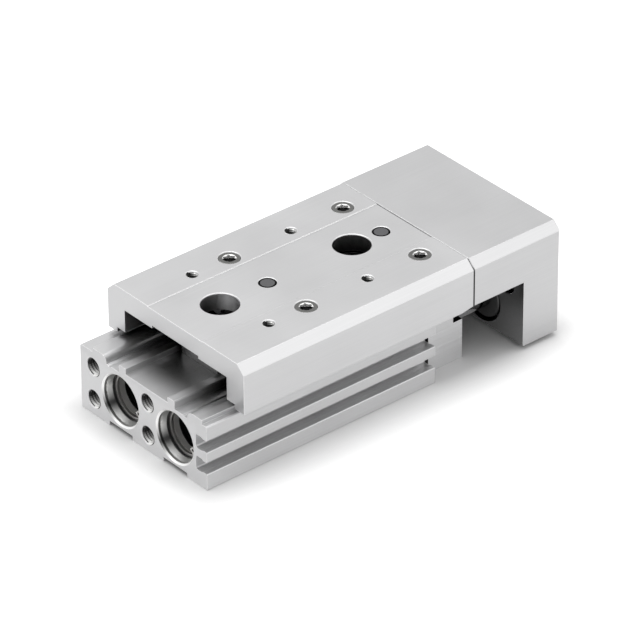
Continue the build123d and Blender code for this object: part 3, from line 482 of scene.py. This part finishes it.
def moulded_skin(name, colour, roughness, grain_scale, grain_depth, sheen=0.0, rim=False):
    """Moulded plastic or rubber with an even fine grain; a rim is the dark edge of a plug."""
    finish, tree, shader = new_finish(
        name, 0.0, roughness, {"Specular IOR Level": 0.45, "Sheen Weight": sheen})
    grain = place_group(tree, BLASTED_GRAIN, {"Scale": grain_scale})
    edge = place_group(tree, EDGE_WEAR_AND_HIGHLIGHT, {"Radius": 0.1 * MM})
    dark = tuple(channel * 0.8 for channel in colour)
    wear_and_highlight = tuple(min(channel * 1.7 + 0.01, 0.9) for channel in colour)
    skin = mix_colour(tree, ramp(tree, grain.outputs["Grain"], 0.3, 0.7), dark, colour)
    # Edges lightened, partly as wear and partly as a painted highlight
    skin = mix_colour(tree, product(tree, edge.outputs["Edge"], 0.5), skin, wear_and_highlight)
    if rim:
        zone = place_group(tree, PLUG_ZONE)
        at_rim = ramp(tree, zone.outputs["Reach"], *(PLUG_RADIUS - inwards for inwards in PLUG_RIM))
        skin = mix_colour(tree, at_rim, skin, grey(0.005))
        tree.links.new(ramp(tree, at_rim, 0.0, 1.0, 0.45, 0.0), shader.inputs["Specular IOR Level"])
    tree.links.new(skin, shader.inputs["Base Color"])
    tree.links.new(ramp(tree, grain.outputs["Grain"], 0.3, 0.7, roughness - 0.05, roughness + 0.08),
                   shader.inputs["Roughness"])
    bump(tree, shader, grain.outputs["Grain"], grain_depth, 0.5, edge.outputs["Normal"])
    return finish


def screw_steel(name):
    """Dark countersunk screws whose sockets are painted bright as a lit wall and painted black as shade
    below a slanted shade line.
    """
    finish, tree, shader = new_finish(name, 1.0, 0.2)
    zone = place_group(tree, SCREW_ZONE)
    edge = place_group(tree, EDGE_WEAR_AND_HIGHLIGHT, {"Radius": 0.1 * MM})
    in_socket = ramp(tree, zone.outputs["Reach"], *SOCKET_RIM)
    # Socket painted bright as a highlight on its lit far wall
    skin = mix_colour(tree, in_socket, (0.16, 0.16, 0.155), (0.90, 0.90, 0.89))
    # Edges lightened, partly as wear and partly as a painted highlight
    skin = mix_colour(tree, product(tree, edge.outputs["Edge"], 0.5), skin, grey(0.7))
    # Painted shade below a line that slants up towards the lit side
    shade_line = product(tree, zone.outputs["Lit Side"], 0.55)
    below_line = math_node(tree, "SUBTRACT", zone.outputs["Depth"], shade_line)
    shaded = product(tree, ramp(tree, below_line, *SOCKET_SHADE), in_socket)
    tree.links.new(mix_colour(tree, shaded, skin, PAINTED_DEEP_SHADE), shader.inputs["Base Color"])
    tree.links.new(ramp(tree, shaded, 0.0, 1.0, 0.5, 0.0), shader.inputs["Specular IOR Level"])
    tree.links.new(ramp(tree, in_socket, 0.0, 1.0, 1.0, 0.5), shader.inputs["Metallic"])
    tree.links.new(edge.outputs["Normal"], shader.inputs["Normal"])
    return finish


def cup_metal(name):
    """Turned head caps with painted shade near the floors of their cups."""
    finish, tree, shader = new_finish(name, 1.0, 0.5)
    x = split(tree, object_place(tree))[0]
    depth = ramp(tree, x, *(BODY_LOW[0] + inwards for inwards in CUP_SHADE))
    tree.links.new(mix_colour(tree, depth, (0.80, 0.79, 0.77), PAINTED_DEEP_SHADE), shader.inputs["Base Color"])
    bump(tree, shader, place_group(tree, BORE_ZONE).outputs["Rings"], 0.002 * MM, 0.4)
    return finish


def thread_metal(name, axis, mouth, deep):
    """Freshly cut thread with painted shade in its roots and on flanks turned from the light, darkening to
    painted black shade from its mouth to a given place along one axis.
    """
    finish, tree, shader = new_finish(name, 1.0, 0.22)
    depth = ramp(tree, split(tree, object_place(tree))[axis], mouth, deep)
    recess = place_group(tree, RECESS, {"Reach": 1.2 * MM})
    # Painted shade in the thread's roots and on flanks turned from the light
    crest = ramp(tree, recess.outputs["Open"], 0.25, 0.6)
    lit = ramp(tree, dot_product(tree, true_normal(tree), SHADE_SIDE), 0.35, -0.25)
    skin = mix_colour(tree, product(tree, crest, lit), grey(0.02), (0.85, 0.85, 0.84))
    # Painted black shade from the mouth inwards
    tree.links.new(mix_colour(tree, depth, skin, PAINTED_DEEP_SHADE), shader.inputs["Base Color"])
    grain = place_group(tree, BLASTED_GRAIN, {"Scale": 6500.0})
    bump(tree, shader, grain.outputs["Grain"], 0.004 * MM, 0.5)
    return finish


FINISH_MAKERS = {
    "body_aluminium": lambda name: anodised_aluminium(
        name, (0.60, 0.60, 0.605), grey(0.86), 0.34, 0.85, (0.0, 0.30), bores=True),
    "table_aluminium": lambda name: anodised_aluminium(
        name, (0.59, 0.59, 0.595), grey(0.90), 0.33, 0.9, (0.08, 0.48)),
    "end_aluminium": lambda name: anodised_aluminium(
        name, (0.57, 0.57, 0.575), grey(0.90), 0.31, 0.9, (0.10, 0.62)),
    "cap_aluminium": cup_metal,
    "cover_aluminium": lambda name: machined_metal(name, grey(0.55), 0.32, ACROSS_X),
    "piston_aluminium": lambda name: machined_metal(name, grey(0.60), 0.30, ACROSS_X),
    "rail_steel": lambda name: machined_metal(name, grey(0.50), 0.24, ALONG_X, shaded=True),
    "carriage_steel": lambda name: machined_metal(name, grey(0.46), 0.30, ALONG_X, shaded=True),
    "ball_steel": lambda name: machined_metal(name, grey(0.70), 0.10, grey(900.0), 0.0005 * MM),
    "rod_chrome": lambda name: machined_metal(
        name, (0.68, 0.68, 0.69), 0.10, ACROSS_X, 0.001 * MM, shaded=True),
    "collar_steel": lambda name: machined_metal(name, grey(0.18), 0.65, ACROSS_X, shaded=True),
    "zinc_steel": lambda name: machined_metal(name, (0.52, 0.53, 0.54), 0.32, grey(1500.0)),
    "table_screw_steel": screw_steel,
    "spring_steel": lambda name: machined_metal(name, (0.48, 0.47, 0.46), 0.40, grey(2500.0)),
    "plug_grey": lambda name: moulded_skin(name, (0.09, 0.09, 0.095), 0.55, 5000.0, 0.02 * MM, rim=True),
    "black_plastic": lambda name: moulded_skin(name, (0.018, 0.018, 0.019), 0.45, 4200.0, 0.012 * MM),
    "wear_plastic": lambda name: moulded_skin(name, grey(0.06), 0.5, 4200.0, 0.01 * MM),
    "magnet_black": lambda name: moulded_skin(name, grey(0.03), 0.55, 6000.0, 0.01 * MM),
    "seal_rubber": lambda name: moulded_skin(name, grey(0.015), 0.6, 3600.0, 0.01 * MM, sheen=0.1),
    "bumper_rubber": lambda name: moulded_skin(
        name, (0.05, 0.05, 0.055), 0.55, 3600.0, 0.01 * MM, sheen=0.1),
}
finishes = {name: make(name) for name, make in FINISH_MAKERS.items()}

for part in record["subparts"]:
    mesh = nodes[part["node"]].data
    mesh.materials.clear()
    mesh.materials.append(finishes[part["material_slot"]])


# Pieces that repeat: thread turns, screws and balls

def new_growth(name, inputs):
    """Geometry Nodes tree with more inputs than its geometry; returns it and its ends."""
    tree = bpy.data.node_groups.new(name, "GeometryNodeTree")
    tree.interface.new_socket("Geometry", in_out="INPUT", socket_type="NodeSocketGeometry")
    for label, kind in inputs:
        tree.interface.new_socket(label, in_out="INPUT", socket_type="NodeSocket" + kind)
    tree.interface.new_socket("Geometry", in_out="OUTPUT", socket_type="NodeSocketGeometry")
    return tree, tree.nodes.new("NodeGroupInput"), tree.nodes.new("NodeGroupOutput")


def put_on_points(tree, start, end, piece):
    """Puts one piece at each point that comes in, turned as asked, as real geometry with its finish."""
    spread = add_node(tree, "GeometryNodeInstanceOnPoints")
    tree.links.new(start.outputs["Geometry"], spread.inputs["Points"])
    tree.links.new(piece, spread.inputs["Instance"])
    tree.links.new(start.outputs["Turn"], spread.inputs["Rotation"])
    real = add_node(tree, "GeometryNodeRealizeInstances")
    tree.links.new(spread.outputs["Instances"], real.inputs[0])
    finish = add_node(tree, "GeometryNodeSetMaterial")
    tree.links.new(real.outputs[0], finish.inputs["Geometry"])
    tree.links.new(start.outputs["Finish"], finish.inputs["Material"])
    tree.links.new(finish.outputs["Geometry"], end.inputs["Geometry"])


def make_thread_tree():
    """Geometry Nodes tree that puts one helical ridge at each point of a mesh."""
    tree, start, end = new_growth("thread_turns", (
        ("Radius", "Float"), ("Pitch", "Float"), ("Length", "Float"), ("Ridge", "Float"),
        ("Turn", "Vector"), ("Finish", "Material")))
    turns = add_node(tree, "ShaderNodeMath", {"operation": "DIVIDE"})
    tree.links.new(start.outputs["Length"], turns.inputs[0])
    tree.links.new(start.outputs["Pitch"], turns.inputs[1])
    helix = add_node(tree, "GeometryNodeCurveSpiral", None, {"Resolution": 28})
    tree.links.new(turns.outputs[0], helix.inputs["Rotations"])
    tree.links.new(start.outputs["Radius"], helix.inputs["Start Radius"])
    tree.links.new(start.outputs["Radius"], helix.inputs["End Radius"])
    tree.links.new(start.outputs["Length"], helix.inputs["Height"])
    upright = add_node(tree, "GeometryNodeSetCurveNormal", {"mode": "Z_UP"})
    tree.links.new(helix.outputs["Curve"], upright.inputs["Curve"])
    section = add_node(tree, "GeometryNodeCurvePrimitiveCircle", None, {"Resolution": 4})
    tree.links.new(start.outputs["Ridge"], section.inputs["Radius"])
    ridge = add_node(tree, "GeometryNodeCurveToMesh", None, {"Fill Caps": True})
    tree.links.new(upright.outputs["Curve"], ridge.inputs["Curve"])
    tree.links.new(section.outputs["Curve"], ridge.inputs["Profile Curve"])
    put_on_points(tree, start, end, ridge.outputs["Mesh"])
    return tree


def make_repeat_tree():
    """Geometry Nodes tree that puts one piece at each point of a mesh."""
    tree, start, end = new_growth("repeated_piece", (
        ("Piece", "Object"), ("Turn", "Vector"), ("Finish", "Material")))
    piece = add_node(tree, "GeometryNodeObjectInfo", {"transform_space": "ORIGINAL"})
    tree.links.new(start.outputs["Piece"], piece.inputs["Object"])
    put_on_points(tree, start, end, piece.outputs["Geometry"])
    return tree


THREAD_TREE = make_thread_tree()
REPEAT_TREE = make_repeat_tree()


def grow(name, points, tree, values):
    """Runs a Geometry Nodes tree on bare points and returns the result as a plain mesh object."""
    seed = bpy.data.objects.new(name + "_points", bpy.data.meshes.new(name + "_points"))
    seed.data.from_pydata([tuple(point) for point in points], [], [])
    bpy.context.scene.collection.objects.link(seed)
    modifier = seed.modifiers.new("tree", "NODES")
    modifier.node_group = tree
    for item in tree.interface.items_tree:
        if item.in_out == "INPUT" and item.name in values:
            modifier[item.identifier] = values[item.name]
    graph = bpy.context.evaluated_depsgraph_get()
    mesh = bpy.data.meshes.new_from_object(seed.evaluated_get(graph))
    bpy.data.objects.remove(seed)
    piece = bpy.data.objects.new(name, mesh)
    mesh.name = name
    bpy.context.scene.collection.objects.link(piece)
    return piece


def cut_threads(name, body, mouths, outward, radius, pitch, length, lead=0.3 * MM, dark=2.6 * MM):
    """Thread turns from each mouth inwards, painted black as shade at the depth dark; outward is the way out
    of the holes.
    """
    inward = -Vector(outward)
    turn = Vector((0, 0, 1)).rotation_difference(inward).to_euler()
    points = [Vector(mouth) + inward * lead for mouth in mouths]
    axis = max(range(3), key=lambda index: abs(inward[index]))
    mouth = mouths[0][axis]
    metal = thread_metal(name, axis, mouth, mouth + inward[axis] * dark)
    piece = grow(name, points, THREAD_TREE, {
        "Radius": radius, "Pitch": pitch, "Length": length - lead, "Ridge": pitch * 0.5,
        "Turn": tuple(turn), "Finish": metal})
    for polygon in piece.data.polygons:
        polygon.use_smooth = False
    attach(piece, body)


def smooth(mesh, degrees=32):
    """Smooth shading, but with creases where faces meet at more than the given angle."""
    mesh.polygons.foreach_set("use_smooth", [True] * len(mesh.polygons))
    mesh.set_sharp_from_angle(angle=math.radians(degrees))


def repeat(name, mesh, body, slot, places, replaced):
    """One piece of several equal ones that belong to the same body; it takes a CAD node's place."""
    pattern = bpy.data.objects.new(name + "_pattern", mesh)
    piece = grow(name, places, REPEAT_TREE, {"Piece": pattern, "Turn": (0, 0, 0), "Finish": finishes[slot]})
    bpy.data.objects.remove(pattern)
    smooth(piece.data)
    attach(piece, body)
    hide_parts(replaced)


# Thread turns in the tapped holes

def pattern_places(mount, axis_a, axis_b):
    """The four corners of a rectangular bolt pattern mount."""
    centre = Vector(mount["pos_m"])
    half_a = mount["dims"]["spacing_x_mm"] * MM / 2
    half_b = mount["dims"]["spacing_y_mm"] * MM / 2
    return [centre + Vector(axis_a) * a * half_a + Vector(axis_b) * b * half_b
            for a in (-1, 1) for b in (-1, 1)]


M3_PITCH = 0.5 * MM
M5_PITCH = 0.8 * MM
STOP_DEPTH = 17 * MM        # from the parting line to the stop hole's mouth in the gap

rear = mounts["rear_threads"]
M5_RADIUS = rear["dims"]["hole_r_mm"] * MM
cut_threads("rear_thread_turns", "cylinder",
            pattern_places(rear, (0, 1, 0), (0, 0, 1)), (-1, 0, 0),
            M5_RADIUS, M5_PITCH, 9.4 * MM, dark=3.6 * MM)

tapped = mounts["table_pattern"]
cut_threads("table_thread_turns", "table",
            pattern_places(tapped, (1, 0, 0), (0, 1, 0)), (0, 0, 1),
            tapped["dims"]["hole_r_mm"] * MM, M3_PITCH, 5.4 * MM, lead=0.2 * MM, dark=1.5 * MM)

stop = mounts["stop_thread"]
cut_threads("stop_thread_turns", "table",
            [(TABLE_HIGH[0] + STOP_DEPTH, stop["pos_m"][1], stop["pos_m"][2])], (-1, 0, 0),
            M5_RADIUS, M5_PITCH, stop["dims"]["length_mm"] * MM - 0.3 * MM, lead=1.0 * MM, dark=0.1 * MM)

ports = [(mounts[name]["pos_m"][0], BODY_HIGH[1], mounts[name]["pos_m"][2])
         for name in ("rear_port", "front_port")]
cut_threads("port_thread_turns", "cylinder", ports, (0, 1, 0),
            M5_RADIUS, M5_PITCH, mounts["rear_port"]["dims"]["length_mm"] * MM - 0.4 * MM)


# Screws and balls in finer detail than the solids

SEGMENTS = 48
TURNS = [2 * math.pi * step / SEGMENTS for step in range(SEGMENTS)]


def circle(radius, height):
    """Ring of points, in millimetres."""
    return [(radius * math.cos(turn), radius * math.sin(turn), height) for turn in TURNS]


def six_lobes(reach, height):
    """The same ring of points, drawn in between six lobes."""
    points = []
    for turn in TURNS:
        radius = reach * (0.88 + 0.12 * math.cos(6 * turn))
        points.append((radius * math.cos(turn), radius * math.sin(turn), height))
    return points


def skin_over(name, rings):
    """Closed mesh over rings of points given in millimetres, from the underside to the socket's floor."""
    mesh = bpy.data.meshes.new(name)
    points = [tuple(value * MM for value in point) for ring in rings for point in ring]
    faces = [tuple(reversed(range(SEGMENTS))), tuple(range(len(points) - SEGMENTS, len(points)))]
    for ring in range(len(rings) - 1):
        base, above = ring * SEGMENTS, (ring + 1) * SEGMENTS
        for step in range(SEGMENTS):
            after = (step + 1) % SEGMENTS
            faces.append((base + step, base + after, above + after, above + step))
    mesh.from_pydata(points, [], faces)
    return mesh


def sunk_screw_mesh(length):
    """Countersunk screw of a length in millimetres, with a deep six-lobed socket."""
    return skin_over("sunk_screw", [
        circle(1.2, -length), circle(1.5, 0.3 - length), circle(1.5, -1.33), circle(2.82, -0.05),
        circle(2.78, 0.0), circle(1.80, 0.0), circle(1.72, -0.06),
        six_lobes(1.74, -0.10), six_lobes(1.70, -1.00), six_lobes(1.66, -1.04), circle(0.45, -1.20)])


def ball_mesh(radius):
    ball = bpy.data.meshes.new("ball")
    shell = bmesh.new()
    bmesh.ops.create_uvsphere(shell, u_segments=32, v_segments=20, radius=radius)
    shell.to_mesh(ball)
    shell.free()
    return ball


screw_places = [(x, y, SCREW_HIGH[2]) for x in (SCREW_LOW[0] + SCREW_HEAD, SCREW_HIGH[0] - SCREW_HEAD)
                for y in (SCREW_LOW[1] + SCREW_HEAD, SCREW_HIGH[1] - SCREW_HEAD)]
repeat("sunk_screws", sunk_screw_mesh((SCREW_HIGH[2] - SCREW_LOW[2]) / MM), "table", "table_screw_steel",
       screw_places, replaced="table_screws")

BALLS_PER_ROW = 9
BALL_RADIUS = 1.0 * MM
for side in ("left", "right"):
    node = "guide_balls_" + side
    low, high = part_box(node)
    end_ball = (high[2] - low[2]) / 2
    pitch = (high[0] - low[0] - 2 * end_ball) / (BALLS_PER_ROW - 1)
    row_y, row_z = (low[1] + high[1]) / 2, (low[2] + high[2]) / 2
    row = [(low[0] + end_ball + pitch * step, row_y, row_z) for step in range(BALLS_PER_ROW)]
    repeat("balls_" + side, ball_mesh(BALL_RADIUS), "table", "ball_steel", row, replaced=node)


# Studio: white floor, soft lights, and the camera at the photograph's angle

FLOOR_HALF = 3.0
FLOOR_Z = -0.02 * MM        # clear of the mounting face
FLOOR_LIFT = 0.50           # light that the camera sees on the open floor
FLOOR_FADE = 16 * MM        # from no lift beside the object to all of it
FLOOR_SHINE = (0.24, 0.26)  # light that metal sees on the floor, beside the object and further off
SHINE_FADE = 60 * MM
SKY_STRENGTH = 0.62
LOOK_AT = Vector((14.65, 0, 22)) * MM
LOOK_OFFSET = Vector((2.831, -6.898, 1389.55)) * MM     # right, down and ahead of the camera
VIEW_AZIMUTH = math.radians(229.927)
VIEW_ELEVATION = math.radians(32.524)
VIEW_ROLL = math.radians(-0.276)
FRAME_PIXELS = 640
FOCAL_PIXELS = 5487.6


def make_floor():
    """White floor that keeps a soft shadow; it is lifted only away from the object."""
    mesh = bpy.data.meshes.new("studio_floor")
    corners = ((-1, -1), (1, -1), (1, 1), (-1, 1))
    mesh.from_pydata([(x * FLOOR_HALF, y * FLOOR_HALF, FLOOR_Z) for x, y in corners], [], [(0, 1, 2, 3)])
    floor = bpy.data.objects.new("studio_floor", mesh)
    bpy.context.scene.collection.objects.link(floor)
    paint = bpy.data.materials.new("studio_white")
    paint.use_nodes = True
    tree = paint.node_tree
    tree.nodes.clear()
    x, y, _ = split(tree, object_place(tree))
    beside = []
    for place, low, high in ((x, BODY_LOW[0], cad_box[1][0]), (y, BODY_LOW[1], BODY_HIGH[1])):
        from_middle = math_node(tree, "SUBTRACT", place, (low + high) / 2)
        beyond = math_node(tree, "SUBTRACT", math_node(tree, "ABSOLUTE", from_middle), (high - low) / 2)
        beside.append(math_node(tree, "MAXIMUM", beyond, 0.0))
    reach = diagonal(tree, *beside)
    path = add_node(tree, "ShaderNodeLightPath")
    seen = product(tree, path.outputs["Is Camera Ray"], ramp(tree, reach, 0.0, FLOOR_FADE, 0.0, FLOOR_LIFT))
    mirrored = product(tree, path.outputs["Is Glossy Ray"], ramp(tree, reach, 0.0, SHINE_FADE, *FLOOR_SHINE))
    matt = add_node(tree, "ShaderNodeBsdfDiffuse", None, {"Color": (0.82, 0.82, 0.82, 1.0)})
    lift = add_node(tree, "ShaderNodeEmission", None, {"Color": (1.0, 1.0, 1.0, 1.0)})
    tree.links.new(math_node(tree, "ADD", seen, mirrored), lift.inputs["Strength"])
    both = add_node(tree, "ShaderNodeAddShader")
    tree.links.new(matt.outputs[0], both.inputs[0])
    tree.links.new(lift.outputs[0], both.inputs[1])
    out = add_node(tree, "ShaderNodeOutputMaterial")
    tree.links.new(both.outputs[0], out.inputs["Surface"])
    mesh.materials.append(paint)


def make_sky():
    """Plain world light; the camera and mirror-like metal see it as white."""
    world = bpy.data.worlds.new("studio_sky")
    bpy.context.scene.world = world
    world.use_nodes = True
    tree = world.node_tree
    tree.nodes.clear()
    room = add_node(tree, "ShaderNodeBackground", None, {"Color": (1, 1, 1, 1), "Strength": SKY_STRENGTH})
    white = add_node(tree, "ShaderNodeBackground", None, {"Color": (1, 1, 1, 1), "Strength": 1.0})
    path = add_node(tree, "ShaderNodeLightPath")
    seen = math_node(tree, "MAXIMUM", path.outputs["Is Camera Ray"], path.outputs["Is Glossy Ray"])
    pick = add_node(tree, "ShaderNodeMixShader")
    tree.links.new(seen, pick.inputs[0])
    tree.links.new(room.outputs[0], pick.inputs[1])
    tree.links.new(white.outputs[0], pick.inputs[2])
    out = add_node(tree, "ShaderNodeOutputWorld")
    tree.links.new(pick.outputs[0], out.inputs["Surface"])


def softbox(name, towards, distance, size, strength):
    """Square area light that faces the object from the given direction."""
    lamp = bpy.data.lights.new(name, "AREA")
    lamp.shape = "SQUARE"
    lamp.size = size
    lamp.energy = strength
    light = bpy.data.objects.new(name, lamp)
    aim = Vector(towards).normalized()
    light.location = LOOK_AT + aim * distance
    light.rotation_euler = aim.to_track_quat("Z", "Y").to_euler()
    bpy.context.scene.collection.objects.link(light)


def make_camera():
    """Camera fitted to the photograph's perspective."""
    toward = Vector((
        math.cos(VIEW_ELEVATION) * math.cos(VIEW_AZIMUTH),
        math.cos(VIEW_ELEVATION) * math.sin(VIEW_AZIMUTH),
        math.sin(VIEW_ELEVATION)))
    level = (-toward).cross(Vector((0, 0, 1))).normalized()
    upright = level.cross(-toward)
    right = math.cos(VIEW_ROLL) * level + math.sin(VIEW_ROLL) * upright
    up = -math.sin(VIEW_ROLL) * level + math.cos(VIEW_ROLL) * upright
    place = LOOK_AT - right * LOOK_OFFSET.x + up * LOOK_OFFSET.y + toward * LOOK_OFFSET.z
    lens = bpy.data.cameras.new("photo_camera")
    lens.sensor_width = 36.0
    lens.lens = FOCAL_PIXELS / FRAME_PIXELS * lens.sensor_width
    lens.clip_start = 0.05
    lens.clip_end = 20.0
    camera = bpy.data.objects.new("photo_camera", lens)
    turn = Matrix((right, up, toward)).transposed()
    camera.matrix_world = Matrix.Translation(place) @ turn.to_4x4()
    bpy.context.scene.collection.objects.link(camera)
    bpy.context.scene.camera = camera


make_floor()
make_sky()
softbox("right_softbox", towards=(0.54, -0.49, 0.68), distance=0.9, size=0.7, strength=0.9)
softbox("top_softbox", towards=(-0.1, 0.2, 1.0), distance=1.2, size=1.5, strength=10.0)
make_camera()
bpy.context.scene.view_settings.view_transform = "Standard"
